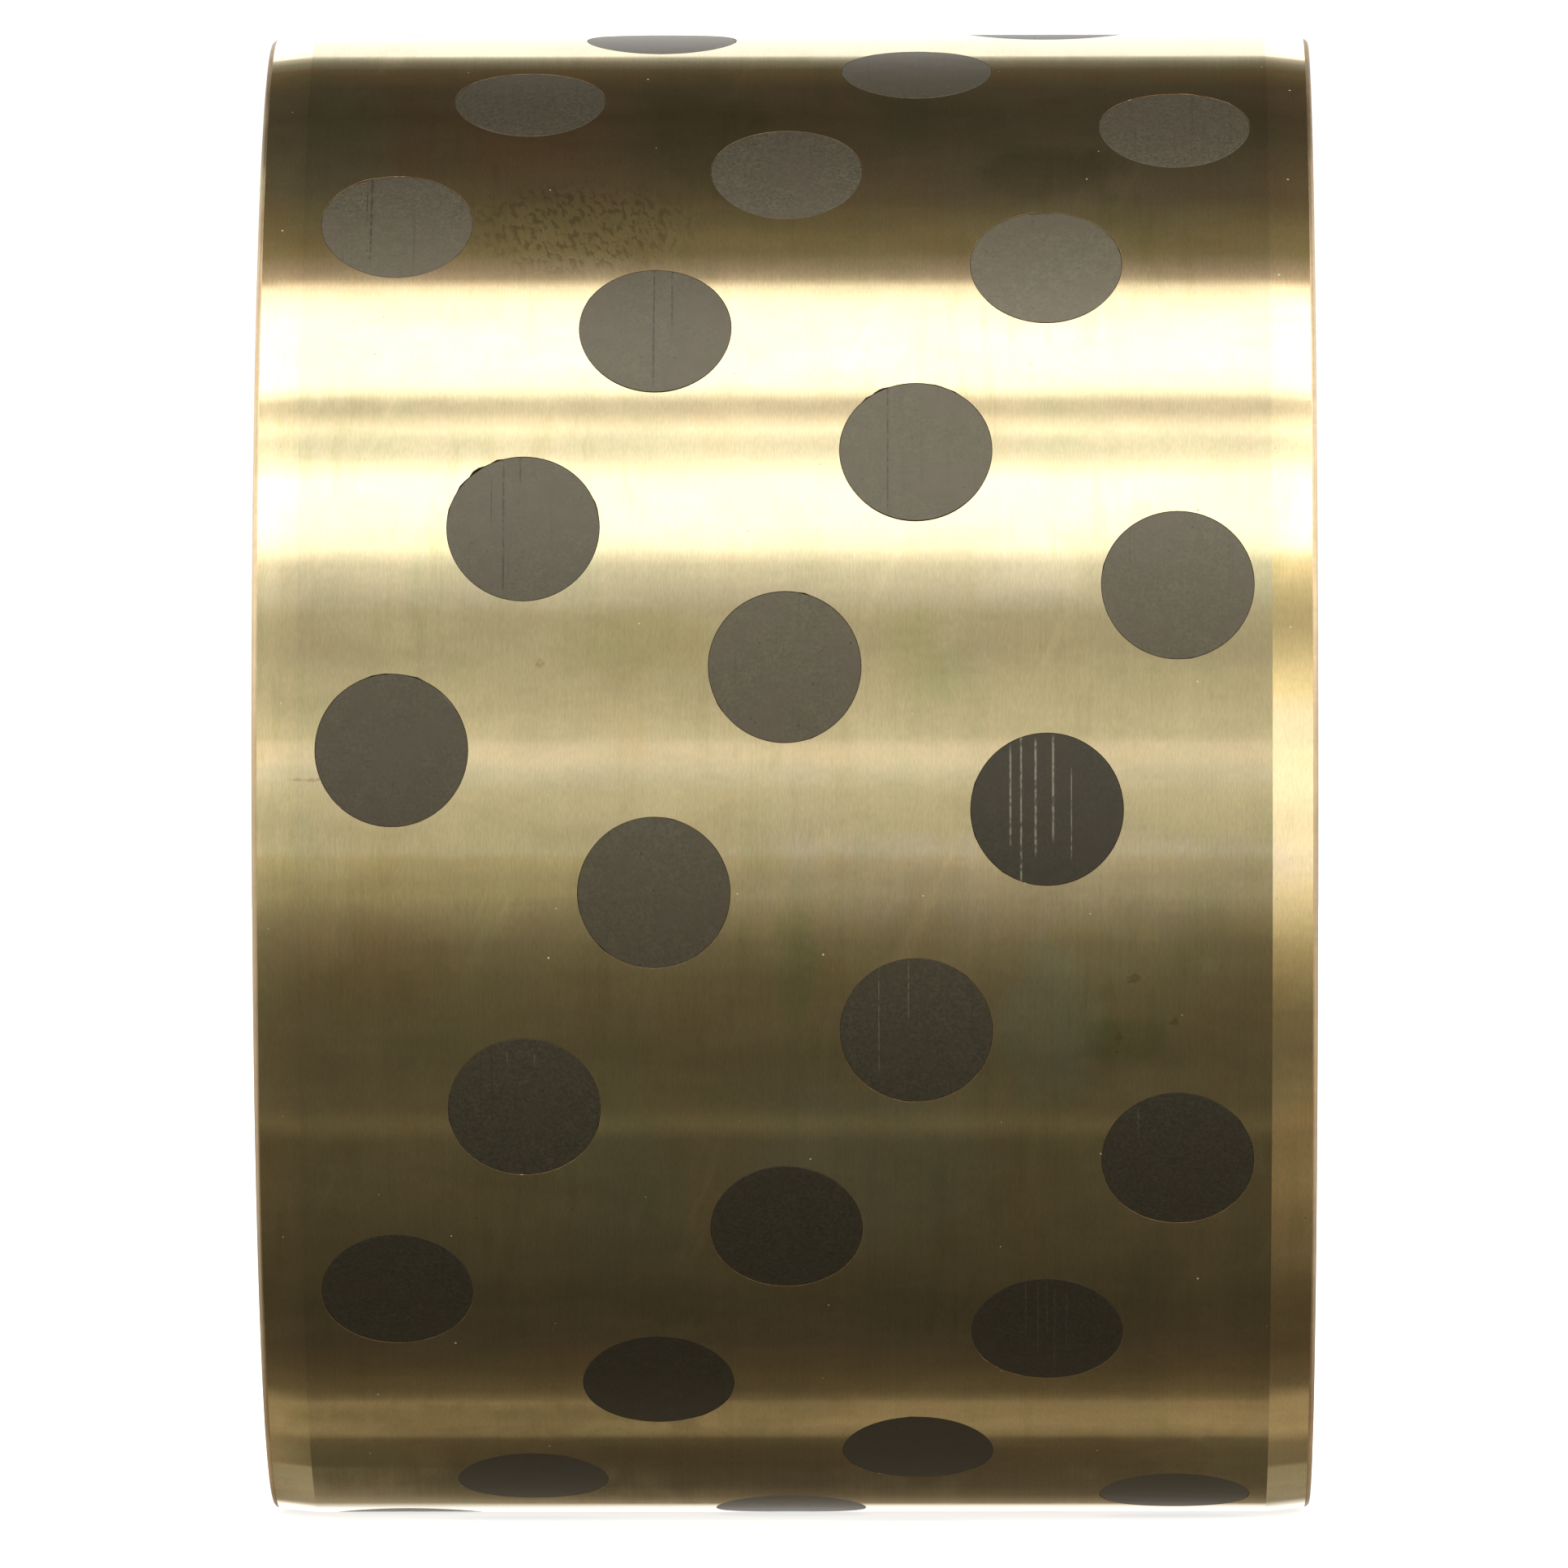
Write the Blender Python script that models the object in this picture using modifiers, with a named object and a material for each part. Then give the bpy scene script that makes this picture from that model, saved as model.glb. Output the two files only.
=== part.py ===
"""Graphite-plugged bronze sleeve bushing, 80 x 100 x 70 mm, lying on its side.

A turned bronze sleeve has rows of radial holes drilled through its wall. Each hole
holds a pressed plug of solid lubricant (graphite) that ends flush with the outside
and with the bore. Seven rings of eight plugs, each ring turned a little further
round than the last, so that the plugs sweep the whole length of the shaft.

Frame: the origin is the centre of the bore, halfway between the end faces. +X runs
along the bore and +Z is up. Metres.
"""

import math

import bmesh
import bpy
from mathutils import Matrix

# Sleeve
OUTER_DIAMETER = 0.100
BORE_DIAMETER = 0.080
LENGTH = 0.070
LEAD_IN_LENGTH = 0.003  # shallow taper that starts the sleeve into its housing
LEAD_IN_DEPTH = 0.0004
EDGE_BREAK = 0.0003  # corner between the taper and the end face
BORE_CHAMFER = 0.001
TURNED_STEPS = 72

# Plug pattern
RING_COUNT = 7
PLUGS_PER_RING = 8
RING_PITCH = 0.0086
RING_TWIST = math.radians(17.1)  # from one ring to the next
FIRST_PLUG_ANGLE = math.radians(1.75)  # from -Y towards +Z
HOLE_DIAMETER = 0.0102
PLUG_SIDES = 20

# Clearances
SIDE_GAP = 0.0003  # between a plug and the wall of its hole
END_RECESS = 0.0001  # a plug's end below the surface of the sleeve
CUT_MARGIN = 0.002  # how far a cutter runs past the surface it cuts

# Merge distance for the seam of a turned shape
SEAM_MERGE = 0.00001
SMOOTH_ANGLE = math.radians(25)

OUTER_RADIUS = OUTER_DIAMETER / 2
BORE_RADIUS = BORE_DIAMETER / 2
WALL = OUTER_RADIUS - BORE_RADIUS


def clear_scene():
    for obj in list(bpy.data.objects):
        bpy.data.objects.remove(obj, do_unlink=True)


def new_collection(name):
    collection = bpy.data.collections.new(name)
    bpy.context.scene.collection.children.link(collection)
    return collection


def new_material(name, color, roughness, metallic):
    material = bpy.data.materials.new(name)
    material.use_nodes = True
    shader = material.node_tree.nodes["Principled BSDF"]
    shader.inputs["Base Color"].default_value = (*color, 1.0)
    shader.inputs["Roughness"].default_value = roughness
    shader.inputs["Metallic"].default_value = metallic
    return material


def bronze_material():
    return new_material("bronze", (0.55, 0.42, 0.23), 0.30, 1.0)


def graphite_material():
    return new_material("graphite", (0.10, 0.09, 0.075), 0.55, 0.0)


def new_object(name, mesh, collection, matrix):
    obj = bpy.data.objects.new(name, mesh)
    obj.matrix_world = matrix
    collection.objects.link(obj)
    return obj


def make_cutter(obj):
    obj.hide_render = True
    obj.display_type = "WIRE"


def bore_matrix():
    """Turns a shape made about Z so that it lies along X, with a flat facet downwards."""
    half_step = math.pi / TURNED_STEPS
    return Matrix.Rotation(math.pi / 2, 4, "Y") @ Matrix.Rotation(half_step, 4, "Z")


def turned_object(name, profile, collection):
    """A closed ring: profile is its (radius, height) corners, down the outside first."""
    mesh = bpy.data.meshes.new(name)
    outline = bmesh.new()
    corners = [outline.verts.new((radius, 0, height)) for radius, height in profile]
    for start, end in zip(corners, corners[1:] + corners[:1]):
        outline.edges.new((start, end))
    outline.to_mesh(mesh)
    outline.free()
    obj = new_object(name, mesh, collection, bore_matrix())
    screw = obj.modifiers.new("turn", "SCREW")
    screw.axis = "Z"
    screw.angle = 2 * math.pi
    screw.steps = TURNED_STEPS
    screw.render_steps = TURNED_STEPS
    screw.use_merge_vertices = True
    screw.merge_threshold = SEAM_MERGE
    screw.use_smooth_shade = True
    return obj


def sleeve_profile():
    """Half of the profile, from the outside's middle to the bore's middle, and its mirror."""
    end = LENGTH / 2
    taper_radius = OUTER_RADIUS - LEAD_IN_DEPTH
    lower_half = [
        (OUTER_RADIUS, LEAD_IN_LENGTH - end),
        (taper_radius, EDGE_BREAK - end),
        (taper_radius - EDGE_BREAK, -end),
        (BORE_RADIUS + BORE_CHAMFER, -end),
        (BORE_RADIUS, BORE_CHAMFER - end),
    ]
    upper_half = [(radius, -height) for radius, height in reversed(lower_half)]
    return lower_half + upper_half


def plug_matrix(ring, place):
    """Centre of a plug in the wall, with its own Z pointing out of the sleeve."""
    along = (ring - (RING_COUNT - 1) / 2) * RING_PITCH
    angle = FIRST_PLUG_ANGLE + ring * RING_TWIST + place * 2 * math.pi / PLUGS_PER_RING
    middle = BORE_RADIUS + WALL / 2
    outwards = Matrix.Rotation(math.pi / 2 - angle, 4, "X")
    return Matrix.Translation((along, 0, 0)) @ outwards @ Matrix.Translation((0, 0, middle))


def add_rod(shape, diameter, matrix):
    """A rod through the wall, long enough to stand out of both sides."""
    bmesh.ops.create_cone(
        shape,
        cap_ends=True,
        segments=PLUG_SIDES,
        radius1=diameter / 2,
        radius2=diameter / 2,
        depth=WALL + 2 * CUT_MARGIN,
        matrix=matrix,
    )


def mesh_of_rods(name, diameter, matrices):
    mesh = bpy.data.meshes.new(name)
    shape = bmesh.new()
    for matrix in matrices:
        add_rod(shape, diameter, matrix)
    shape.to_mesh(mesh)
    shape.free()
    return mesh


def add_boolean(obj, operation, other):
    cut = obj.modifiers.new(operation.lower(), "BOOLEAN")
    cut.operation = operation
    cut.solver = "EXACT"
    cut.object = other


def apply_modifiers(objects):
    """Gives each object its finished mesh, shaded smooth except at its real corners."""
    graph = bpy.context.evaluated_depsgraph_get()
    finished = [bpy.data.meshes.new_from_object(obj.evaluated_get(graph)) for obj in objects]
    for obj, mesh in zip(objects, finished):
        mesh.shade_smooth()
        mesh.set_sharp_from_angle(angle=SMOOTH_ANGLE)
        mesh.name = obj.name
        obj.modifiers.clear()
        obj.data = mesh


def make_sleeve(parts, cutters, places):
    sleeve = turned_object("sleeve", sleeve_profile(), parts)
    drill_mesh = mesh_of_rods("plug_holes", HOLE_DIAMETER, places.values())
    drill = new_object("plug_holes", drill_mesh, cutters, Matrix.Identity(4))
    make_cutter(drill)
    add_boolean(sleeve, "DIFFERENCE", drill)
    return sleeve


def make_plug_envelope(cutters):
    """The sleeve's wall, thinner by the recess on each side: it trims the plugs' ends."""
    outer = OUTER_RADIUS - END_RECESS
    inner = BORE_RADIUS + END_RECESS
    end = LENGTH / 2
    profile = [(outer, end), (outer, -end), (inner, -end), (inner, end)]
    envelope = turned_object("plug_envelope", profile, cutters)
    make_cutter(envelope)
    return envelope


def make_plugs(parts, cutters, places):
    envelope = make_plug_envelope(cutters)
    diameter = HOLE_DIAMETER - 2 * SIDE_GAP
    rod = mesh_of_rods("plug_rod", diameter, [Matrix.Identity(4)])
    plugs = []
    for (ring, place), matrix in places.items():
        name = f"graphite_plug_{ring + 1}_{place + 1}"
        plug = new_object(name, rod, parts, matrix)
        add_boolean(plug, "INTERSECT", envelope)
        plugs.append(plug)
    return plugs


def main():
    clear_scene()
    parts = new_collection("bronze_sleeve_bushing")
    cutters = new_collection("cutters")
    places = {
        (ring, place): plug_matrix(ring, place)
        for ring in range(RING_COUNT)
        for place in range(PLUGS_PER_RING)
    }
    sleeve = make_sleeve(parts, cutters, places)
    plugs = make_plugs(parts, cutters, places)
    apply_modifiers([sleeve, *plugs])
    sleeve.data.materials.append(bronze_material())
    graphite = graphite_material()
    for plug in plugs:
        plug.data.materials.append(graphite)


main()
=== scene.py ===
"""Looks of a graphite-plugged bronze sleeve bushing, 80 x 100 x 70 mm, on a pale floor.

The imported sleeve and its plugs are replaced, one for one, by fine meshes of the same
sizes. Frame: the origin is the centre of the bore, +X along it, +Z up. Metres.
Angles around the bushing run from the camera's side (-Y) over the top.
"""

import math
import random

import bmesh
import bpy
import numpy as np
from mathutils import Matrix, Vector, noise
from mathutils.geometry import delaunay_2d_cdt


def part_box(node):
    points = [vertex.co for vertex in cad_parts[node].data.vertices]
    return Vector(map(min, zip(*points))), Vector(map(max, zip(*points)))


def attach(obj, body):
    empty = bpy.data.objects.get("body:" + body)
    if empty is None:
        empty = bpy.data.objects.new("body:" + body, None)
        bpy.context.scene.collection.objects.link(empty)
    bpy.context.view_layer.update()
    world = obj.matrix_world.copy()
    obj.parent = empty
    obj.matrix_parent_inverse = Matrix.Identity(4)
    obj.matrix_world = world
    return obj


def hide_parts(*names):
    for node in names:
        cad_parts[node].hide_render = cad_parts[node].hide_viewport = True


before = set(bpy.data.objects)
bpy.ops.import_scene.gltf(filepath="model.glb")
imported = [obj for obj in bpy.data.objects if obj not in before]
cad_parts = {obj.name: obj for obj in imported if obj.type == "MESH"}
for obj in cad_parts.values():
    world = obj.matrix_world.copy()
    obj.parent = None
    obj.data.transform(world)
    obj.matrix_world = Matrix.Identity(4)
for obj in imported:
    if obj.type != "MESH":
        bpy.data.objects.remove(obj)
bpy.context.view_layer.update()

MM = 0.001

# Sleeve
OUTER_RADIUS = 50 * MM
BORE_RADIUS = 40 * MM
HALF_LENGTH = 35 * MM
LEAD_IN_LENGTH = 3 * MM
LEAD_IN_SLOPES = (math.radians(5.0), math.radians(7.5))  # where it begins, and at the edge
LEAD_IN_STEPS = 5
EDGE_ROUNDING = 0.4 * MM
EDGE_STEPS = 7
BORE_CHAMFER = 1 * MM
CHAMFER_FACING = math.radians(135)
FACE_RINGS = 8
AROUND_STEPS = 288

# Plug pattern
RING_COUNT = 7
PLUGS_PER_RING = 8
RING_PITCH = 8.6 * MM
RING_TWIST = math.radians(17.1)
FIRST_PLUG_ANGLE = math.radians(1.75)
HOLE_RADIUS = 5.03 * MM
HOLE_CHAMFER = 0.014 * MM
HOLE_WAVES = 0.5  # share of the chamfer that it varies by
HOLE_WAVE_SCALE = 3
PLUG_RADIUS = 5.01 * MM
PLUG_RECESS = 0.010 * MM
PLUG_EDGE = 0.015 * MM
PLUG_EDGE_RIPPLE = 0.8  # share of the edge that it grows by in places
PLUG_RINGS = 9
PLUG_RING_SPREAD = 1.5  # above 1, the rings of points crowd towards the plug's edge
PLUG_WAVES = 0.006 * MM
PLUG_WAVE_SCALE = 900
PLUG_WAVE_OFFSETS = (0, 90)
SHARP_ANGLE = math.radians(30)
RIM_STEPS = 72

# The skin of the sleeve is cut along a slanted seam that runs between the plugs. The seam
# begins SEAM_START steps around, and gains SEAM_STEPS on its way along.
SKIN_HALF = HALF_LENGTH - LEAD_IN_LENGTH
SEAM_START = 10
SEAM_STEPS = 102
STEP = 2 * math.pi / AROUND_STEPS
GUARD = 0.5 * MM  # first ring of points outside a hole's rim
GRID_CLEARANCE = 2.2 * GUARD  # from a hole's wall to the nearest point of the grid
OVERLAP_TOLERANCE = 1e-6
WELD = 0.002 * MM

# Bites out of the bronze at a hole's edge: ring, place, direction and half width in degrees, depth in mm
CHIPS = [
    (2, 1, 128, 7, 0.16),
    (2, 1, 110, 5, 0.09),
    (2, 1, 143, 4, 0.10),
    (5, 8, 118, 6, 0.12),
    (5, 8, 131, 4, 0.08),
    (1, 1, 97, 4, 0.05),
    (1, 1, 70, 4, 0.06),
    (1, 2, 117, 9, 0.08),
    (7, 8, 80, 8, 0.07),
    (3, 1, 272, 62, 0.05),
    (6, 8, 268, 55, 0.05),
    (5, 8, 275, 58, 0.05),
]
SMALL_BITES = 3  # by chance, at every hole
BITE_DIRECTIONS = (0, 6.28)  # in radians, as the half widths are
BITE_HALF_WIDTHS = (0.04, 0.10)
BITE_DEPTHS = (0, 0.06)  # in mm
BITE_FLOOR = 0.4 * MM  # below this depth a hole's wall is round again
BITE_TAPER = 0.6  # share of a bite's depth that is left below the chamfer

# Surfaces of the sleeve, in the order of its materials
TURNED, LEAD_IN, FACED, WORN, RIM = range(5)

# Camera, with its lens and sensor in mm
CAMERA_PLACE = (13.4 * MM, -1543 * MM, 0.0)
CAMERA_LENS = 522.8
CAMERA_SENSOR = 36.0
CAMERA_CLIPS = (0.1, 100.0)
CAMERA_YAW = math.radians(-0.516)
CAMERA_PITCH = math.radians(0.027)
CAMERA_ROLL = math.radians(-0.059)

FLOOR_SIZE = 14.0
FLOOR_STEPS = 24

# (along, angle) of each plug's axis, by its ring and its place in the ring
plug_places = {
    (ring + 1, place + 1): (
        (ring - (RING_COUNT - 1) / 2) * RING_PITCH,
        FIRST_PLUG_ANGLE + ring * RING_TWIST + place * 2 * math.pi / PLUGS_PER_RING,
    )
    for ring in range(RING_COUNT)
    for place in range(PLUGS_PER_RING)
}


# ---------------------------------------------------------------- shapes


def wrapped(along, angle, radius):
    """Points on the cylinder of that radius."""
    along, angle = np.broadcast_arrays(along, angle)
    return np.stack([along, -radius * np.cos(angle), radius * np.sin(angle)], axis=-1)


def outwards(angle):
    """Directions straight out from the sleeve's axis."""
    angle = np.asarray(angle, float)
    return np.stack([np.zeros_like(angle), -np.cos(angle), np.sin(angle)], axis=-1)


def around_plug(key, reach, radius):
    """(along, angle) of points round a plug's axis, reach away from it, at that radius."""
    along, angle = plug_places[key]
    turn = np.arange(RIM_STEPS) * 2 * math.pi / RIM_STEPS
    return along + reach * np.cos(turn), angle + np.arcsin(reach * np.sin(turn) / radius)


def away_from_axis(key):
    """Directions square to a plug's axis, one for each point around it."""
    angle = plug_places[key][1]
    turn = np.arange(RIM_STEPS)[:, None] * 2 * math.pi / RIM_STEPS
    across = np.array([0.0, math.sin(angle), math.cos(angle)])
    return np.cos(turn) * np.array([1.0, 0.0, 0.0]) + np.sin(turn) * across


def chipped_reach(key):
    """Reach of a hole's outer edge: its chamfer, a slight waviness and its bites."""
    chance = random.Random(f"chips {key}")
    bites = [(math.radians(turn), math.radians(half), depth * MM)
             for ring, place, turn, half, depth in CHIPS if (ring, place) == key]
    for _ in range(SMALL_BITES):
        bites.append((chance.uniform(*BITE_DIRECTIONS), chance.uniform(*BITE_HALF_WIDTHS),
                      chance.uniform(*BITE_DEPTHS) * MM))
    reach = []
    for step in range(RIM_STEPS):
        turn = step * 2 * math.pi / RIM_STEPS
        wave = noise.noise(Vector((math.cos(turn) * HOLE_WAVE_SCALE, math.sin(turn) * HOLE_WAVE_SCALE,
                                   noise_level(key))))
        deepest = 0.0
        for middle, half, depth in bites:
            off = abs((turn - middle + math.pi) % (2 * math.pi) - math.pi) / half
            deepest = max(deepest, depth * (1 - off * off))
        reach.append(HOLE_RADIUS + HOLE_CHAMFER * (1 + HOLE_WAVES * wave) + deepest)
    return np.array(reach)


def noise_level(key):
    """A height in the noise that no two plugs share."""
    return key[0] * 7.3 + key[1] * 3.1


def strip(first, second, first_normals, second_normals):
    """Triangles between two closed loops of points, with a normal for each corner."""
    a, b = first, np.roll(first, -1, axis=0)
    c, d = second, np.roll(second, -1, axis=0)
    na, nb = first_normals, np.roll(first_normals, -1, axis=0)
    nc, nd = second_normals, np.roll(second_normals, -1, axis=0)
    corners = np.concatenate([np.stack([a, b, d], 1), np.stack([a, d, c], 1)])
    normals = np.concatenate([np.stack([na, nb, nd], 1), np.stack([na, nd, nc], 1)])
    return corners, normals


def seam_angle(along):
    """Where the slanted seam of the skin is, that far along the sleeve."""
    return (SEAM_START + SEAM_STEPS * (along + SKIN_HALF) / (2 * SKIN_HALF)) * STEP


def skin_outline():
    """(along, angle) round the unrolled skin: end, seam, other end, and the seam again."""
    around = np.arange(AROUND_STEPS + 1) * STEP
    along_seam = np.linspace(-SKIN_HALF, SKIN_HALF, SEAM_STEPS + 1)[1:-1]
    near_seam = list(zip(along_seam, seam_angle(along_seam)))
    far_seam = [(along, angle + 2 * math.pi) for along, angle in near_seam]
    left = [(-SKIN_HALF, seam_angle(-SKIN_HALF) + angle) for angle in around]
    right = [(SKIN_HALF, seam_angle(SKIN_HALF) + angle) for angle in around]
    return near_seam + right + far_seam[::-1] + left[::-1]


def skin_grid(radius):
    """Staggered points over the unrolled skin, clear of its outline and of the holes."""
    rows = round(2 * SKIN_HALF / (OUTER_RADIUS * STEP * math.sqrt(3) / 2))
    pitch = 2 * SKIN_HALF / rows
    points = []
    for row in range(1, rows):
        along = row * pitch - SKIN_HALF
        offsets = (np.arange(1, AROUND_STEPS) + 0.5 * (row % 2) - 0.25) * STEP
        points.append(np.stack([np.full_like(offsets, along), seam_angle(along) + offsets], 1))
    points = np.concatenate(points)
    clear = np.ones(len(points), bool)
    for along, angle in plug_places.values():
        turned = points[:, 1] - angle
        across = radius * np.sin(turned)
        near = np.hypot(points[:, 0] - along, across) < HOLE_RADIUS + GRID_CLEARANCE
        clear &= ~(near & (np.cos(turned) > 0))
    return points[clear]


def pierced_skin(radius, rims, facing):
    """The skin at one radius with the holes left open. rims gives each hole's edge."""
    loops = [np.array(skin_outline())]
    guards = []
    for key, reach in rims.items():
        along, angle = around_plug(key, reach, radius)
        turns = np.floor((plug_places[key][1] - seam_angle(plug_places[key][0])) / (2 * math.pi))
        loops.append(np.stack([along, angle - turns * 2 * math.pi], 1))
        along, angle = around_plug(key, np.full(RIM_STEPS, HOLE_RADIUS + GUARD), radius)
        guards.append(np.stack([along, angle - turns * 2 * math.pi], 1))
    points = np.concatenate([*loops, *guards, skin_grid(radius)])
    unrolled = np.array([1.0, OUTER_RADIUS])
    flat = points * unrolled / MM
    faces, start = [], 0
    for loop in loops:
        faces.append(list(range(start, start + len(loop))))
        start += len(loop)
    made = delaunay_2d_cdt([Vector(point) for point in flat], [], faces, 0, OVERLAP_TOLERANCE)
    places = np.array([tuple(place) for place in made[0]]) * MM / unrolled
    # Faces inside the outline alone: those inside a hole's loop are left out
    kept = np.array([face for face, origins in zip(made[2], made[5]) if list(origins) == [0]])
    corners = places[kept]
    normals = facing * outwards(corners[..., 1])
    return wrapped(corners[..., 0], corners[..., 1], radius), normals


def hole_wall(key, outer_reach, inner_reach):
    """Both rims and the wall of one hole, as (surface, triangles)."""
    away = away_from_axis(key)
    bites = (outer_reach - HOLE_RADIUS - HOLE_CHAMFER).clip(0)
    levels = [
        (outer_reach, OUTER_RADIUS),
        (HOLE_RADIUS + BITE_TAPER * bites, OUTER_RADIUS - HOLE_CHAMFER),
        (np.full(RIM_STEPS, HOLE_RADIUS), OUTER_RADIUS - BITE_FLOOR),
        (np.full(RIM_STEPS, HOLE_RADIUS), BORE_RADIUS + HOLE_CHAMFER),
        (inner_reach, BORE_RADIUS),
    ]
    loops = []
    for reach, radius in levels:
        along, angle = around_plug(key, reach, radius)
        loops.append((wrapped(along, angle, radius), outwards(angle)))
    slopes = [(loops[0][1] - away), -away, -away, (-loops[4][1] - away)]
    slopes = [slope / np.linalg.norm(slope, axis=1, keepdims=True) for slope in slopes]
    return [(surface, strip(loops[at][0], loops[at + 1][0], slopes[at], slopes[at]))
            for at, surface in enumerate((RIM, TURNED, TURNED, RIM))]


def end_profile():
    """Right end, from the skin to the bore: start, end, their slopes, and the surface it is."""
    steps = np.linspace(0, 1, LEAD_IN_STEPS + 1)
    slopes = LEAD_IN_SLOPES[0] + steps * (LEAD_IN_SLOPES[1] - LEAD_IN_SLOPES[0])
    length = LEAD_IN_LENGTH - EDGE_ROUNDING * (1 - math.sin(slopes[-1]))
    points = [(SKIN_HALF, OUTER_RADIUS)]
    for slope in (slopes[1:] + slopes[:-1]) / 2:
        along, radius = points[-1]
        points.append((along + length / LEAD_IN_STEPS, radius - length / LEAD_IN_STEPS * math.tan(slope)))
    stretches = [(points[at], points[at + 1], slopes[at], slopes[at + 1], LEAD_IN)
                 for at in range(LEAD_IN_STEPS)]
    middle = (HALF_LENGTH - EDGE_ROUNDING, points[-1][1] - EDGE_ROUNDING * math.cos(slopes[-1]))
    turns = np.linspace(slopes[-1], math.pi / 2, EDGE_STEPS + 1)
    edge = [(middle[0] + EDGE_ROUNDING * math.sin(turn), middle[1] + EDGE_ROUNDING * math.cos(turn), turn)
            for turn in turns]
    for start, end in zip(edge, edge[1:]):
        stretches.append((start[:2], end[:2], start[2], end[2], WORN))
    radii = np.linspace(edge[-1][1], BORE_RADIUS + BORE_CHAMFER, FACE_RINGS + 1)
    for start, end in zip(radii, radii[1:]):
        stretches.append(((HALF_LENGTH, start), (HALF_LENGTH, end), math.pi / 2, math.pi / 2, FACED))
    chamfer = (HALF_LENGTH - BORE_CHAMFER, BORE_RADIUS)
    stretches.append(((HALF_LENGTH, radii[-1]), chamfer, CHAMFER_FACING, CHAMFER_FACING, WORN))
    stretches.append((chamfer, (SKIN_HALF, BORE_RADIUS), math.pi, math.pi, TURNED))
    return stretches


def turned_ends():
    """Both ends as (surface, triangles). A slope of 0 faces out and one of 90 degrees along."""
    angles = np.arange(AROUND_STEPS) * STEP
    bands = []
    for side in (1, -1):
        for start, end, start_slope, end_slope, surface in end_profile():
            loops, normals = [], []
            for (along, radius), slope in ((start, start_slope), (end, end_slope)):
                loops.append(wrapped(side * along, angles, radius))
                normal = math.cos(slope) * outwards(angles)
                normals.append(normal + np.array([side * math.sin(slope), 0, 0]))
            bands.append((surface, strip(*loops, *normals)))
    return bands


def welded_mesh(name, parts):
    """One closed mesh from parts of (surface, (corners, normals))."""
    corners = np.concatenate([part[0] for _, part in parts])
    normals = np.concatenate([part[1] for _, part in parts])
    index = np.concatenate([np.full(len(part[0]), surface) for surface, part in parts])
    turned = np.cross(corners[:, 1] - corners[:, 0], corners[:, 2] - corners[:, 0])
    wrong = (turned * normals.sum(1)).sum(1) < 0
    corners[wrong] = corners[wrong][:, ::-1]
    normals[wrong] = normals[wrong][:, ::-1]
    mesh = bpy.data.meshes.new(name)
    faces = np.arange(len(corners) * 3).reshape(-1, 3)
    mesh.from_pydata(corners.reshape(-1, 3), [], faces.tolist())
    mesh.polygons.foreach_set("material_index", index.astype(np.int32))
    layer = mesh.attributes.new("wanted_normal", "FLOAT_VECTOR", "CORNER")
    layer.data.foreach_set("vector", normals.astype(np.float32).ravel())
    shape = bmesh.new()
    shape.from_mesh(mesh)
    bmesh.ops.remove_doubles(shape, verts=shape.verts, dist=WELD)
    shape.to_mesh(mesh)
    shape.free()
    mesh.shade_smooth()
    wanted = np.empty(len(mesh.loops) * 3, np.float32)
    mesh.attributes["wanted_normal"].data.foreach_get("vector", wanted)
    mesh.attributes.remove(mesh.attributes["wanted_normal"])
    mesh.normals_split_custom_set(wanted.reshape(-1, 3))
    return mesh


def make_sleeve():
    """The whole sleeve: its ends, its outer and inner skins, and the walls of its holes."""
    outer_rims = {key: chipped_reach(key) for key in plug_places}
    inner_rims = {key: np.full(RIM_STEPS, HOLE_RADIUS + HOLE_CHAMFER) for key in plug_places}
    parts = turned_ends()
    parts.append((TURNED, pierced_skin(OUTER_RADIUS, outer_rims, 1)))
    parts.append((TURNED, pierced_skin(BORE_RADIUS, inner_rims, -1)))
    for key in plug_places:
        parts += hole_wall(key, outer_rims[key], inner_rims[key])
    mesh = welded_mesh("bronze_sleeve", parts)
    return bpy.data.objects.new("bronze_sleeve", mesh)


def plug_cap(key, radius, edge_radius, chance):
    """Loops of points from the rim of a plug's end to its middle, slightly uneven."""
    loops = [around_plug(key, np.full(RIM_STEPS, PLUG_RADIUS), edge_radius) + (edge_radius,)]
    turns = np.arange(RIM_STEPS) * 4 * math.pi / RIM_STEPS
    ripple = np.array([noise.noise(Vector((math.cos(turn), math.sin(turn), noise_level(key))))
                       for turn in turns])
    reaches = PLUG_RADIUS - PLUG_EDGE * (1 + PLUG_EDGE_RIPPLE * ripple.clip(0))
    for ring in range(PLUG_RINGS):
        share = 1 - (ring / PLUG_RINGS) ** PLUG_RING_SPREAD
        loops.append(around_plug(key, reaches * share, radius) + (radius,))
    offset = Vector((chance.uniform(*PLUG_WAVE_OFFSETS), 0, 0))
    placed = []
    for at, (along, angle, level) in enumerate(loops):
        points = wrapped(along, angle, level)
        if at > 0:
            waves = [noise.noise(Vector(point) * PLUG_WAVE_SCALE + offset) for point in points]
            points = points + outwards(angle) * np.array(waves)[:, None] * PLUG_WAVES
        placed.append(points)
    return placed


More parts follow.
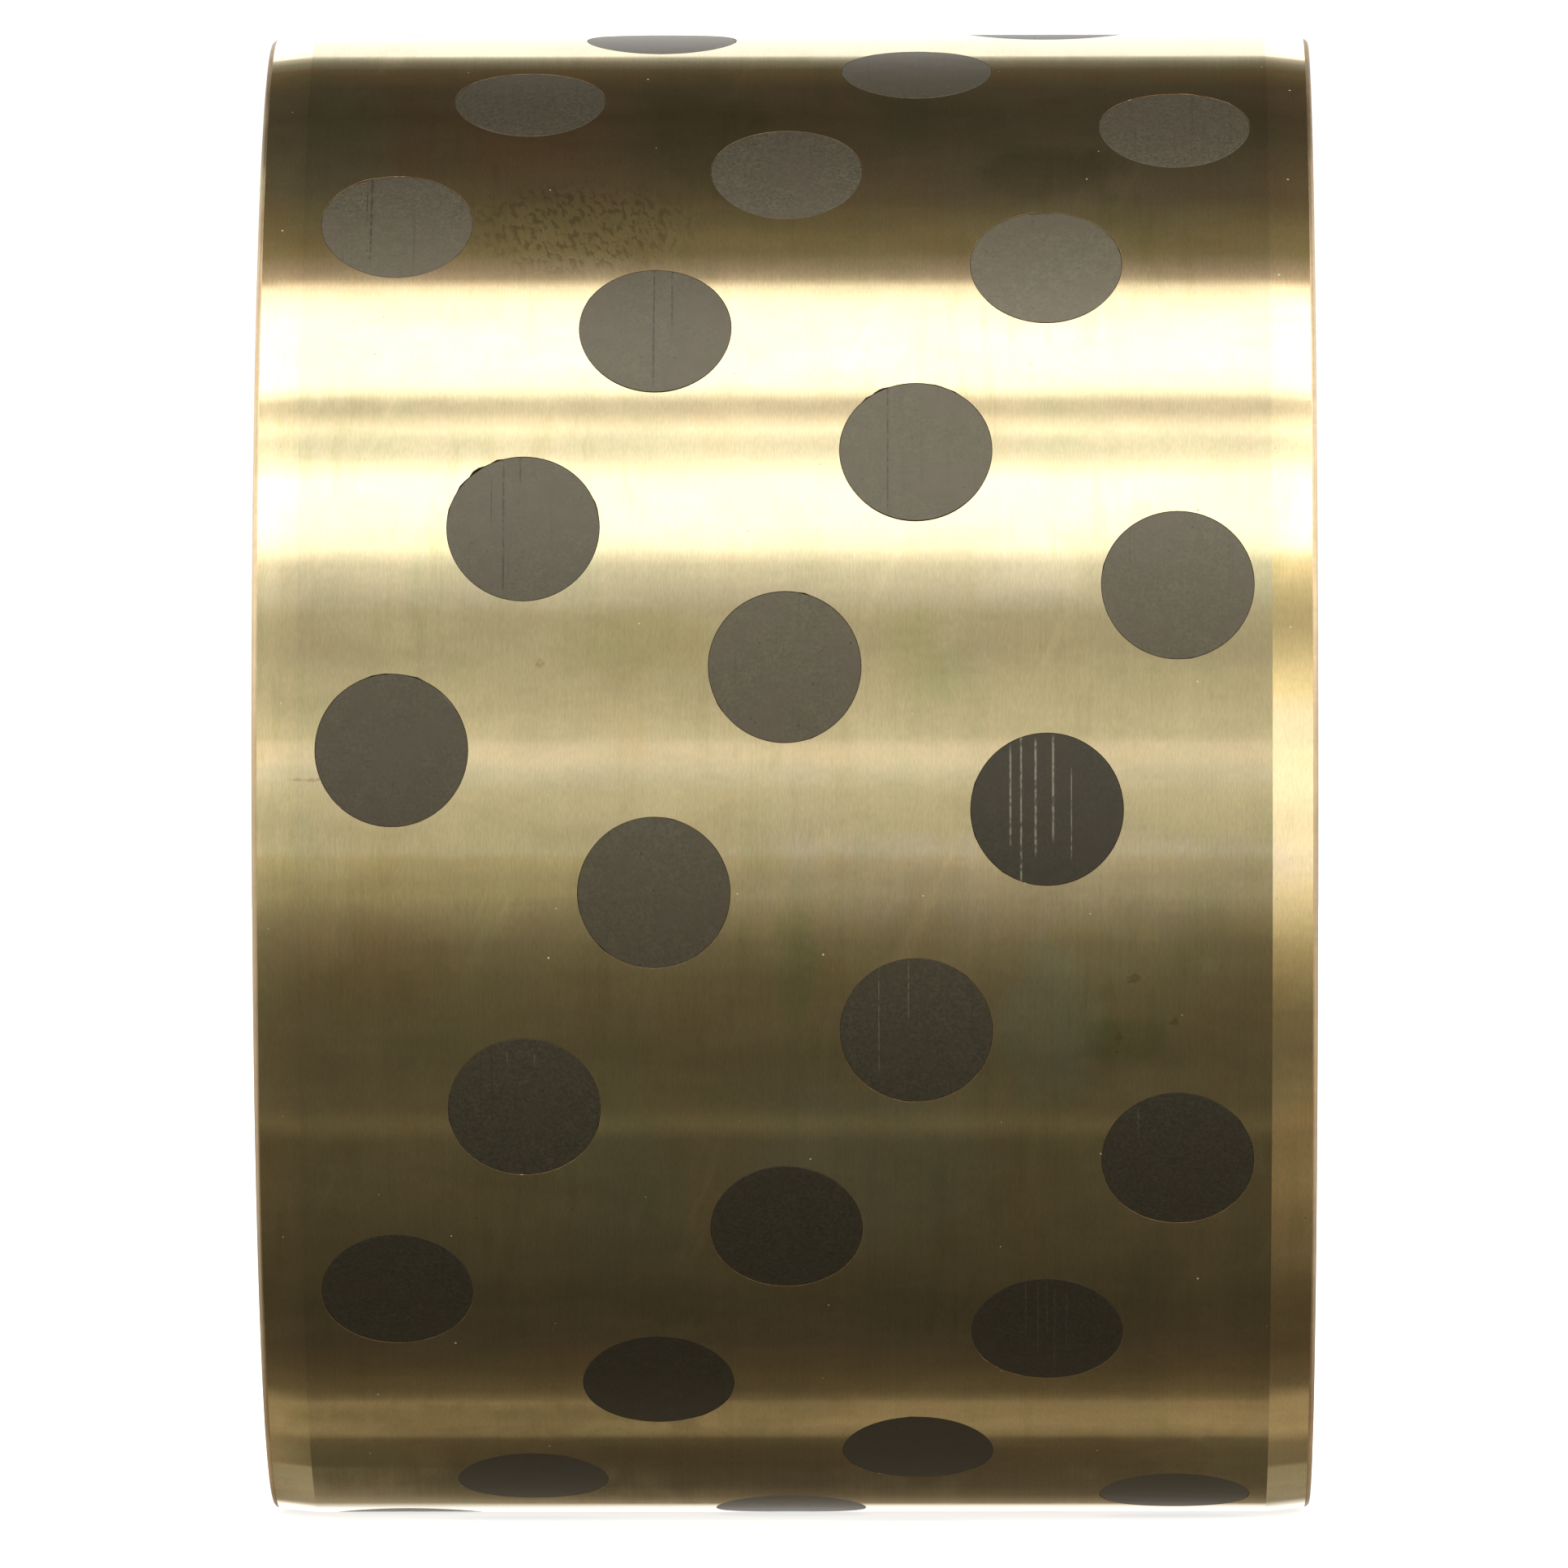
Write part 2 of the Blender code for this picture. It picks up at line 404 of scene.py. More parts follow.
def make_plug(key):
    """A plug of the same outline as its hole, with both ends following the sleeve."""
    chance = random.Random(f"plug {key}")
    outer = plug_cap(key, OUTER_RADIUS - PLUG_RECESS, OUTER_RADIUS - PLUG_RECESS - PLUG_EDGE, chance)
    inner = plug_cap(key, BORE_RADIUS + PLUG_RECESS, BORE_RADIUS + PLUG_RECESS + PLUG_EDGE, chance)
    loops = outer[::-1] + inner
    shape = bmesh.new()
    rings = [[shape.verts.new(point) for point in loop] for loop in loops]
    for first, second in zip(rings, rings[1:]):
        for at in range(RIM_STEPS):
            after = (at + 1) % RIM_STEPS
            shape.faces.new((first[at], first[after], second[after], second[at]))
    for ring in (rings[0], rings[-1]):
        middle = shape.verts.new(sum((vert.co for vert in ring), Vector()) / RIM_STEPS)
        for at in range(RIM_STEPS):
            shape.faces.new((ring[at], ring[(at + 1) % RIM_STEPS], middle))
    bmesh.ops.recalc_face_normals(shape, faces=shape.faces)
    name = f"plug_{key[0]}_{key[1]}"
    mesh = bpy.data.meshes.new(name)
    shape.to_mesh(mesh)
    shape.free()
    mesh.shade_smooth()
    mesh.set_sharp_from_angle(angle=SHARP_ANGLE)
    return bpy.data.objects.new(name, mesh)


# ---------------------------------------------------------------- materials

FACE_LINE_SHARE = 1.37  # turning lines across an end face are this much closer than along the sleeve

# Colour shifts on the camera's side, with painted shade and painted light low down: (x, z) middle and half
# sizes in mm, and what the colour is multiplied by
TINTS_AND_PAINTED_LIGHT = [
    ((-6.2, 42.5), (4.0, 4.5), (0.80, 0.88, 0.84)),
    ((-17.0, 42.5), (4.5, 2.5), (1.05, 0.95, 0.94)),
    ((8.0, 45.0), (2.5, 2.5), (0.84, 0.92, 0.90)),
    ((17.0, 40.0), (4.5, 1.6), (0.78, 0.80, 0.76)),
    ((19.5, 41.0), (13.0, 5.0), (0.97, 1.06, 1.16)),
    ((-31.0, 41.0), (4.5, 4.5), (0.94, 1.08, 1.13)),
    ((-9.5, 8.5), (4.8, 2.2), (0.90, 0.92, 0.84)),
    ((16.0, 13.2), (3.4, 2.2), (1.10, 1.10, 1.16)),
    ((8.5, 7.5), (1.6, 3.4), (0.91, 0.95, 0.86)),
    ((1.5, -2.8), (2.2, 3.5), (1.05, 1.05, 1.10)),
    ((0.7, -12.0), (1.3, 4.0), (0.85, 0.94, 0.86)),
    ((5.0, -25.0), (7.5, 6.0), (0.95, 1.03, 1.12)),
    ((14.0, -12.5), (6.0, 3.0), (1.08, 1.08, 1.12)),
    ((-27.5, -12.5), (5.5, 3.0), (1.04, 0.97, 0.92)),
    ((-26.5, -24.0), (5.5, 5.0), (1.05, 1.06, 1.06)),
    ((-11.0, -27.5), (4.0, 5.0), (0.93, 1.00, 1.05)),
    ((22.5, -17.6), (2.6, 1.5), (0.80, 0.88, 0.80)),
    ((15.0, -7.0), (20.0, 2.8), (1.0, 1.01, 1.19)),
    ((17.2, -16.5), (3.0, 4.5), (0.97, 1.12, 1.27)),
    ((24.0, -14.0), (4.0, 3.5), (1.05, 1.10, 1.12)),
    # The patches at z of -42 and below are painted shade in the middle and painted light near both ends
    ((-20.0, -43.0), (12.0, 1.0), (0.72, 0.72, 0.68)),
    ((28.0, -37.0), (3.5, 7.0), (1.14, 1.10, 1.08)),
    ((-30.5, -46.0), (6.5, 2.2), (1.24, 1.25, 1.26)),
    ((31.5, -46.0), (6.0, 2.2), (1.22, 1.24, 1.26)),
    ((-4.0, -42.0), (7.5, 1.6), (0.84, 0.84, 0.82)),
    ((-2.0, -46.2), (15.0, 2.4), (0.84, 0.84, 0.82)),
]
# Tarnish by chance, all over
GREEN_TARNISH = (0.91, 0.975, 0.93)
RED_TARNISH = (1.0, 0.955, 0.91)
DRIP_TARNISH = (0.91, 0.93, 0.88)

# Dark spots: (x, z) middle and half sizes in mm
STAINS = [((22.9, -13.5), (0.42, 0.26)), ((25.5, -16.3), (0.26, 0.24)), ((21.9, -17.4), (0.2, 0.3)),
          ((-16.1, 7.2), (0.24, 0.24)), ((-31.2, -0.4), (0.9, 0.1))]
STAIN_COLOR = (0.50, 0.33, 0.16)
PIT_COLOR = (0.20, 0.15, 0.08)
DUST_COLOR = (0.70, 0.66, 0.56)

# Edges of the holes
RIM_COLORS = ((0.30, 0.16, 0.08), (0.46, 0.30, 0.15))
BURR_COLOR = (0.88, 0.78, 0.58)

# Chatter marks: (x, z) middle and half sizes in mm
CHATTER = ((-13.6, 36.2), (6.8, 2.7))
CHATTER_COLOR = (0.34, 0.30, 0.17)

# Scratches of single plugs: (x, highest z, lowest z, width), in mm
PALE_SCRATCHES = {
    (6, 7): [(14.8, 1.7, -4.6, 0.12), (15.5, 2.5, -7.2, 0.12), (16.45, 2.1, -5.2, 0.14),
             (17.6, 2.4, -4.2, 0.14), (18.8, 0.2, -5.4, 0.06)],
    (5, 7): [(6.15, -12.8, -19.6, 0.08), (8.1, -12.4, -16.2, 0.10)],
    (6, 6): [(15.8, -33.6, -37.4, 0.07), (16.6, -33.8, -38.4, 0.08), (17.2, -33.4, -37.0, 0.06),
             (17.7, -34.0, -39.5, 0.07), (18.5, -34.4, -38.0, 0.07)],
    (7, 6): [(23.2, -22.2, -23.6, 0.14)],
    (2, 8): [(-18.3, -18.2, -19.0, 0.08), (-16.5, -18.4, -19.2, 0.08)],
}
PALE_SCRATCH_COLOR = (0.40, 0.37, 0.30)
PALE_STRENGTHS = {(6, 7): 0.75, (5, 7): 0.35, (6, 6): 0.20, (7, 6): 0.25, (2, 8): 0.35}
DARK_SCRATCHES = {
    (2, 1): [(-18.5, 21.2, 12.0, 0.14), (-17.4, 21.4, 19.2, 0.12), (-19.3, 19.5, 16.5, 0.08)],
    (5, 8): [(6.75, 26.0, 17.4, 0.10)],
    (3, 1): [(-8.7, 34.0, 25.8, 0.12), (-7.5, 33.8, 29.6, 0.12)],
    (1, 2): [(-27.5, 40.2, 34.2, 0.14), (-27.8, 38.6, 36.8, 0.08)],
}

# Graphite of tone 1: the deep and the light grain, dull mottling, and brownish patches
GRAPHITE_COLORS = [(0.125, 0.112, 0.074), (0.172, 0.154, 0.102), (0.115, 0.100, 0.068), (0.150, 0.124, 0.088)]
GRAPHITE_DARK = (0.05, 0.045, 0.035)  # in pits and dark scratches
DRAG_COLOR = (0.06, 0.05, 0.04)

# How light a plug's graphite is, where it isn't 1: partly its own tone, partly painted light on plugs high up
# and painted shade on plugs low down. Every scratched plug is listed.
TONES_AND_PAINTED_LIGHT = {(6, 7): 0.53, (1, 1): 0.79, (3, 8): 0.95, (2, 1): 0.84, (2, 8): 0.89, (5, 7): 0.83, (4, 8): 0.93,
         (7, 7): 0.95, (5, 8): 0.95, (3, 1): 0.95, (4, 7): 0.76, (6, 6): 0.76, (1, 8): 0.80, (7, 6): 0.78,
         (3, 7): 0.68, (5, 6): 0.62, (2, 7): 0.62, (7, 5): 0.74, (2, 2): 1.07, (5, 1): 1.24, (7, 8): 1.3,
         (4, 1): 1.15, (1, 2): 1.11, (6, 8): 1.25, (3, 2): 1.2}


class Nodes:
    """Adds nodes to one material or world. Inputs are numbers, colours or sockets."""

    def __init__(self, owner):
        owner.use_nodes = True
        self.tree = owner.node_tree
        self.tree.nodes.clear()

    def add(self, kind, inputs=None, **settings):
        node = self.tree.nodes.new("ShaderNode" + kind)
        for name, value in settings.items():
            setattr(node, name, value)
        for place, value in (inputs or {}).items():
            if isinstance(value, bpy.types.NodeSocket):
                self.tree.links.new(value, node.inputs[place])
            else:
                node.inputs[place].default_value = value
        return node

    def math(self, operation, first, second=0.0, third=0.0):
        inputs = {0: first, 1: second, 2: third}
        return self.add("Math", inputs, operation=operation).outputs[0]

    def fade(self, value, start, end, low=0.0, high=1.0):
        """low up to start, high from end on, and a smooth change between."""
        inputs = {"Value": value, "From Min": start, "From Max": end, "To Min": low, "To Max": high}
        return self.add("MapRange", inputs, interpolation_type="SMOOTHSTEP").outputs[0]

    def noise(self, place, scale, detail=2.0, roughness=0.5):
        inputs = {"Vector": place, "Scale": scale, "Detail": detail, "Roughness": roughness}
        return self.add("TexNoise", inputs).outputs["Fac"]

    def mix(self, share, first, second, blend="MIX"):
        node = self.add("Mix", {"Factor": share}, data_type="RGBA", blend_type=blend)
        for place, value in ((6, first), (7, second)):
            if isinstance(value, bpy.types.NodeSocket):
                self.tree.links.new(value, node.inputs[place])
            else:
                node.inputs[place].default_value = (*value, 1.0)
        return node.outputs[2]

    def bump(self, height, strength, distance, normal=None):
        inputs = {"Height": height, "Strength": strength, "Distance": distance}
        if normal is not None:
            inputs["Normal"] = normal
        return self.add("Bump", inputs).outputs[0]


def lathe_places(nodes):
    """(x, y, z, lathe): lathe changes along the sleeve and across its end faces alike."""
    place = nodes.add("TexCoord").outputs["Object"]
    parts = nodes.add("SeparateXYZ", {0: place})
    x, y, z = parts.outputs
    radius = nodes.math("SQRT", nodes.math("ADD", nodes.math("MULTIPLY", y, y), nodes.math("MULTIPLY", z, z)))
    lathe = nodes.math("MULTIPLY_ADD", radius, FACE_LINE_SHARE, x)
    return x, y, z, lathe


def turning_lines(nodes, lathe, y, z, pitch, length, detail=2.0):
    """Noise drawn out into lines that run round the axis."""
    inputs = {0: nodes.math("DIVIDE", lathe, pitch), 1: nodes.math("DIVIDE", y, length),
              2: nodes.math("DIVIDE", z, length)}
    return nodes.noise(nodes.add("CombineXYZ", inputs).outputs[0], 1.0, detail)


def front_of_outside(nodes, y, z):
    """1 on the camera's half of the outside, 0 behind and in the bore."""
    squares = nodes.math("MULTIPLY_ADD", y, y, nodes.math("MULTIPLY", z, z))
    outside = nodes.math("GREATER_THAN", squares, (OUTER_RADIUS - 2 * MM) ** 2)
    return nodes.math("MULTIPLY", outside, nodes.math("LESS_THAN", y, 0.0))


def front_spot(nodes, x, y, z, middle, size, softness, ragged=0.0):
    """1 inside an oval on the camera's side, given by its (x, z) middle and half sizes in mm.

    softness is how wide its edge fades, and ragged pushes that edge in and out.
    """
    across = nodes.math("DIVIDE", nodes.math("SUBTRACT", x, middle[0] * MM), size[0] * MM)
    upwards = nodes.math("DIVIDE", nodes.math("SUBTRACT", z, middle[1] * MM), size[1] * MM)
    squares = nodes.math("MULTIPLY_ADD", across, across, nodes.math("MULTIPLY", upwards, upwards))
    squares = nodes.math("ADD", squares, ragged)
    inside = nodes.fade(squares, 1 - softness, 1 + softness, 1.0, 0.0)
    return nodes.math("MULTIPLY", inside, front_of_outside(nodes, y, z))


def stretched(nodes, x, y, z, along, around):
    """Places for a noise whose patches are along wide and around tall."""
    inputs = {0: nodes.math("DIVIDE", x, along), 1: nodes.math("DIVIDE", y, around),
              2: nodes.math("DIVIDE", z, around)}
    return nodes.add("CombineXYZ", inputs).outputs[0]


def around_places(nodes, x, y, z, slant=0.0):
    """(x, arc) unrolled at the outside's radius, with x pushed along by slant times z."""
    arc = nodes.math("MULTIPLY", nodes.math("ARCTAN2", z, nodes.math("MULTIPLY", y, -1.0)), OUTER_RADIUS)
    along = nodes.math("MULTIPLY_ADD", z, slant, x)
    return along, arc


def flat_place(nodes, along, arc, width, height):
    """Places for a noise or cells over the unrolled surface, width by height in size."""
    return nodes.add("CombineXYZ", {0: nodes.math("DIVIDE", along, width),
                                    1: nodes.math("DIVIDE", arc, height)}).outputs[0]


def tarnish_and_painted_light(nodes, x, y, z, lathe, color):
    """Soft patches of colour: placed ones, with painted shade and painted light among those low down, and
    tarnish by chance.
    """
    along, arc = around_places(nodes, lathe, y, z)
    wander = nodes.noise(flat_place(nodes, along, arc, 2.5 * MM, 4 * MM), 1.0, 4.0, 0.6)
    wander = nodes.fade(wander, 0.3, 0.7, -0.45, 0.45)
    # Placed patches: colour shifts in given spots, those low down by the bottom edge painted shade and
    # painted light
    for middle, size, tint in TINTS_AND_PAINTED_LIGHT:
        spot = front_spot(nodes, x, y, z, middle, size, 1.0, wander)
        color = nodes.mix(spot, color, nodes.mix(1.0, color, tint, "MULTIPLY"))
    hue = nodes.noise(stretched(nodes, x, y, z, 6 * MM, 10 * MM), 1.0, 4.0, 0.65)
    green = nodes.fade(hue, 0.50, 0.68, 0.0, 0.7)
    color = nodes.mix(green, color, nodes.mix(1.0, color, GREEN_TARNISH, "MULTIPLY"))
    red = nodes.fade(hue, 0.34, 0.48, 0.7, 0.0)
    color = nodes.mix(red, color, nodes.mix(1.0, color, RED_TARNISH, "MULTIPLY"))
    cloud = nodes.noise(flat_place(nodes, along, arc, 9 * MM, 3.5 * MM), 1.0, 4.0, 0.6)
    cloud = nodes.fade(cloud, 0.40, 0.60, 0.955, 1.035)
    color = nodes.add("VectorMath", {0: color, "Scale": cloud}, operation="SCALE").outputs[0]
    drips = nodes.noise(flat_place(nodes, along, arc, 1.1 * MM, 7 * MM), 1.0, 3.0, 0.6)
    where = nodes.noise(stretched(nodes, z, x, y, 13 * MM, 9 * MM), 1.0, 2.0)
    drips = nodes.math("MULTIPLY", nodes.fade(drips, 0.48, 0.64), nodes.fade(where, 0.48, 0.62, 0.0, 0.9))
    return nodes.mix(drips, color, nodes.mix(1.0, color, DRIP_TARNISH, "MULTIPLY"))


def chatter_marks(nodes, x, y, z):
    """Short slanted dents in one spot, where the tool chattered."""
    along, arc = around_places(nodes, x, y, z, 0.35)
    marks = nodes.noise(flat_place(nodes, along, arc, 0.40 * MM, 0.8 * MM), 1.0, 2.0, 0.5)
    return nodes.math("MULTIPLY", nodes.fade(marks, 0.47, 0.64), front_spot(nodes, x, y, z, *CHATTER, 0.8))


def smears_on_bronze(nodes, x, y, z, lathe):
    """Wide slanting smears, in a few places."""
    leaning, arc = around_places(nodes, lathe, y, z, -0.42)
    smears = nodes.noise(flat_place(nodes, leaning, arc, 2.6 * MM, 20 * MM), 1.0, 3.0)
    where = nodes.noise(stretched(nodes, x, z, y, 15 * MM, 11 * MM), 1.0, 1.0)
    return nodes.math("MULTIPLY", nodes.fade(smears, 0.58, 0.74), nodes.fade(where, 0.45, 0.6))


def stained(nodes, x, y, z, color):
    """The colour with the placed dark spots on it, half see-through and with ragged edges."""
    for middle, size in STAINS:
        ragged = nodes.noise(stretched(nodes, x, y, z, 0.3 * MM, 0.3 * MM), 1.0)
        ragged = nodes.fade(ragged, 0.3, 0.7, -1.0, 1.0)
        stain = nodes.math("MULTIPLY", front_spot(nodes, x, y, z, middle, size, 0.9, ragged), 0.5)
        color = nodes.mix(stain, color, STAIN_COLOR)
    return color


def dust_and_pits(nodes, y, z, lathe):
    """(dust, pit): tiny specks of either kind, at most one to a cell of the surface."""
    along, arc = around_places(nodes, lathe, y, z)
    cells = nodes.add("TexVoronoi", {"Vector": flat_place(nodes, along, arc, 6 * MM, 6 * MM), "Scale": 1.0},
                      voronoi_dimensions="2D")
    lots = nodes.add("SeparateColor", {0: cells.outputs["Color"]}).outputs
    reach = nodes.fade(lots[1], 0.0, 1.0, 0.005, 0.012)
    speck = nodes.math("LESS_THAN", cells.outputs["Distance"], reach)
    dust = nodes.math("MULTIPLY", speck, nodes.math("GREATER_THAN", lots[0], 0.68))
    pit = nodes.math("MULTIPLY", speck, nodes.math("LESS_THAN", lots[0], 0.12))
    return dust, pit


def bronze_material(name, color, roughness, anisotropy, lines=1.0):
    """Turned bronze: fine lines round the axis, tarnish, colour patches with painted shade and painted light
    low down, stains, hazy spots, smears and dust.

    lines is how marked the turning lines are.
    """
    material = bpy.data.materials.new(name)
    nodes = Nodes(material)
    x, y, z, lathe = lathe_places(nodes)
    fine = turning_lines(nodes, lathe, y, z, 0.16 * MM, 22 * MM)
    medium = turning_lines(nodes, lathe, y, z, 1.1 * MM, 30 * MM, 3.0)
    grain = turning_lines(nodes, lathe, y, z, 0.09 * MM, 0.5 * MM, 1.0)
    haze = nodes.fade(nodes.noise(stretched(nodes, x, y, z, 2.6 * MM, 9 * MM), 1.0, 3.0), 0.42, 0.68)
    smears = smears_on_bronze(nodes, x, y, z, lathe)
    chatter = chatter_marks(nodes, x, y, z)
    dust, pit = dust_and_pits(nodes, y, z, lathe)

    tone = nodes.math("ADD", nodes.fade(fine, 0.3, 0.7, 1 - 0.015 * lines, 1 + 0.012 * lines),
                      nodes.fade(medium, 0.3, 0.7, -0.01 * lines, 0.01 * lines))
    tone = nodes.math("ADD", tone, nodes.fade(grain, 0.25, 0.75, -0.052, 0.052))
    tone = nodes.math("MULTIPLY_ADD", smears, 0.06, tone)
    surface = nodes.add("VectorMath", {0: color, "Scale": tone}, operation="SCALE").outputs[0]
    surface = stained(nodes, x, y, z, tarnish_and_painted_light(nodes, x, y, z, lathe, surface))
    surface = nodes.mix(nodes.math("MULTIPLY", chatter, 0.55), surface, CHATTER_COLOR)
    surface = nodes.mix(nodes.math("MULTIPLY", pit, 0.5), surface, PIT_COLOR)
    surface = nodes.mix(nodes.math("MULTIPLY", dust, 0.5), surface, DUST_COLOR)

    rough = nodes.fade(fine, 0.3, 0.7, roughness * 0.94, roughness * 1.06)
    rough = nodes.math("MULTIPLY_ADD", haze, roughness * 0.4, rough)
    rough = nodes.math("MULTIPLY_ADD", smears, roughness * 0.4, rough)
    rough = nodes.math("MULTIPLY_ADD", dust, 0.5, rough)

    relief = nodes.math("MULTIPLY_ADD", medium, 0.6, fine)
    normal = nodes.bump(relief, min(1.0, 0.05 * lines), 0.004 * MM)
    normal = nodes.bump(nodes.math("SUBTRACT", 0.0, chatter), 0.12, 0.02 * MM, normal)
    tangent = nodes.add("Tangent", direction_type="RADIAL", axis="X").outputs[0]
    shader = nodes.add("BsdfPrincipled", {
        "Base Color": surface, "Metallic": nodes.fade(dust, 0.0, 1.0, 1.0, 0.2), "Roughness": rough,
        "Anisotropic": anisotropy, "Anisotropic Rotation": 0.25, "Tangent": tangent, "Normal": normal})
    nodes.add("OutputMaterial", {"Surface": shader.outputs[0]})
    return material


def rim_material():
    """Edges of the holes: dull copper brown, with a bright burr here and there."""
    material = bpy.data.materials.new("hole_rim")
    nodes = Nodes(material)
    place = nodes.add("TexCoord").outputs["Object"]
    stain = nodes.noise(place, 1 / (1.5 * MM), 3.0)
    color = nodes.mix(nodes.fade(stain, 0.35, 0.65), *RIM_COLORS)
    burr = nodes.fade(nodes.noise(place, 1 / (0.7 * MM), 2.0), 0.66, 0.72)
    color = nodes.mix(burr, color, BURR_COLOR)
    shader = nodes.add("BsdfPrincipled", {
        "Base Color": color, "Metallic": 1.0, "Roughness": nodes.fade(burr, 0.0, 1.0, 0.5, 0.25),
        "Normal": nodes.bump(stain, 0.3, 0.02 * MM)})
    nodes.add("OutputMaterial", {"Surface": shader.outputs[0]})
    return material


def scratch_lines(nodes, x, y, z, scratches):
    """How strongly each place is scratched, from (x, highest z, lowest z, width) in mm."""
    total = None
    for middle, highest, lowest, width in scratches:
        across = nodes.math("ABSOLUTE", nodes.math("SUBTRACT", x, middle * MM))
        line = nodes.fade(across, width * MM * 0.3, width * MM * 0.7, 1.0, 0.0)
        span = nodes.math("MULTIPLY", nodes.fade(z, (lowest - 0.6) * MM, (lowest + 0.6) * MM),
                          nodes.fade(z, (highest - 0.3) * MM, (highest + 0.3) * MM, 1.0, 0.0))
        line = nodes.math("MULTIPLY", line, span)
        total = line if total is None else nodes.math("MAXIMUM", total, line)
    breaks = nodes.noise(stretched(nodes, x, y, z, 0.3 * MM, 0.35 * MM), 1.0, 2.0)
    total = nodes.math("MULTIPLY", total, nodes.fade(breaks, 0.32, 0.58, 0.15, 1.0))
    return nodes.math("MULTIPLY", total, front_of_outside(nodes, y, z))


def graphite_material(name, tone, pale_scratches=(), pale_strength=0.0, dark_scratches=()):
    """Ground graphite: fine grain, faint drag lines, pits, a plug's own scratches, and a tone that holds
    painted light or painted shade on some plugs.
    """
    material = bpy.data.materials.new(name)
    nodes = Nodes(material)
    x, y, z, lathe = lathe_places(nodes)
    place = nodes.add("TexCoord").outputs["Object"]
    grain = nodes.noise(place, 1 / (0.22 * MM), 3.0, 0.6)
    patches = nodes.noise(place, 1 / (3.5 * MM), 3.0, 0.5)
    drag = turning_lines(nodes, lathe, y, z, 0.3 * MM, 10 * MM)
    mottle = nodes.noise(place, 1 / (0.9 * MM), 3.0, 0.6)
    deep, light, dull, brown = [tuple(part * tone for part in shade) for shade in GRAPHITE_COLORS]
    color = nodes.mix(nodes.fade(grain, 0.3, 0.7), deep, light)
    color = nodes.mix(nodes.fade(mottle, 0.35, 0.65, 0.0, 0.35), color, dull)
    color = nodes.mix(nodes.math("MULTIPLY", nodes.fade(patches, 0.35, 0.7), 0.5), color, brown)
    color = nodes.mix(nodes.fade(drag, 0.62, 0.75, 0.0, 0.2), color, DRAG_COLOR)
    pits = nodes.noise(stretched(nodes, x, y, z, 0.3 * MM, 0.3 * MM), 1.0, 1.0)
    color = nodes.mix(nodes.fade(pits, 0.72, 0.80, 0.0, 0.6), color, GRAPHITE_DARK)
    relief = nodes.math("MULTIPLY_ADD", drag, 0.3, grain)
    if dark_scratches:
        dark = scratch_lines(nodes, x, y, z, dark_scratches)
        color = nodes.mix(nodes.math("MULTIPLY", dark, 0.65), color, GRAPHITE_DARK)
        relief = nodes.math("SUBTRACT", relief, dark)
    if pale_scratches:
        pale = scratch_lines(nodes, x, y, z, pale_scratches)
        color = nodes.mix(nodes.math("MULTIPLY", pale, pale_strength), color, PALE_SCRATCH_COLOR)
        relief = nodes.math("SUBTRACT", relief, nodes.math("MULTIPLY", pale, 0.5))
    shader = nodes.add("BsdfPrincipled", {
        "Base Color": color, "Metallic": 0.85, "IOR": 1.9, "Coat Weight": 0.3, "Coat Roughness": 0.25,
        "Sheen Weight": 0.10, "Sheen Roughness": 0.3, "Sheen Tint": (1.0, 0.93, 0.78, 1.0),
        "Roughness": nodes.fade(grain, 0.3, 0.7, 0.47, 0.55),
        "Normal": nodes.bump(relief, 0.30, 0.02 * MM)})
    nodes.add("OutputMaterial", {"Surface": shader.outputs[0]})
    return material


def floor_material():
    """A white table that glows a little, so that only a faint shadow shows on it."""
    material = bpy.data.materials.new("pale_floor")
    nodes = Nodes(material)
    place = nodes.add("TexCoord").outputs["Object"]
    grain = nodes.noise(place, 400.0, 2.0)
    color = nodes.mix(grain, (0.80, 0.80, 0.80), (0.84, 0.84, 0.84))
    shader = nodes.add("BsdfPrincipled", {
        "Base Color": color, "Roughness": 0.9, "Emission Color": (1.0, 1.0, 1.0, 1.0),
        "Emission Strength": 0.75})
    nodes.add("OutputMaterial", {"Surface": shader.outputs[0]})
    return material


# ---------------------------------------------------------------- studio

# Tints of the light
NEUTRAL = (1.0, 1.0, 1.0)
OLIVE = (1.0, 0.97, 0.86)
MOSS = (1.0, 0.93, 0.70)
PEACH = (1.0, 0.94, 0.91)
APRICOT = (1.0, 0.86, 0.78)
SAND = (1.0, 0.91, 0.69)
BROWN = (1.0, 0.87, 0.60)
TAN = (1.0, 0.80, 0.54)
UMBER = (1.0, 0.81, 0.64)
CLAY = (1.0, 0.865, 0.63)
DRAB = (1.0, 0.885, 0.65)

# What the bushing sees around its axis: degrees from the camera's side, brightness, tint
FRONT_ABOVE = [
    (0, 0.68, NEUTRAL), (2, 0.82, PEACH), (4.3, 0.80, PEACH), (5.5, 0.63, OLIVE), (12, 0.51, OLIVE),
    (19, 0.44, OLIVE), (24.5, 0.47, OLIVE), (27, 0.57, NEUTRAL), (32.3, 0.83, NEUTRAL),
    (33.8, 1.14, NEUTRAL), (35.2, 1.54, NEUTRAL), (39, 1.92, NEUTRAL), (46, 2.00, NEUTRAL),
    (49.8, 1.20, NEUTRAL), (51.6, 1.04, NEUTRAL), (53, 1.08, NEUTRAL), (54.6, 1.38, NEUTRAL),
    (56.2, 1.14, PEACH), (57.8, 0.80, PEACH), (59.6, 0.82, PEACH), (60.8, 1.28, NEUTRAL),
    (62.4, 1.88, NEUTRAL), (66, 2.10, NEUTRAL), (72, 2.05, NEUTRAL), (78, 1.67, NEUTRAL),
    (81.2, 1.22, PEACH), (82.1, 0.74, APRICOT), (83.0, 0.44, APRICOT), (85, 0.31, APRICOT),
    (88.2, 0.195, BROWN), (90, 0.18, BROWN),
]
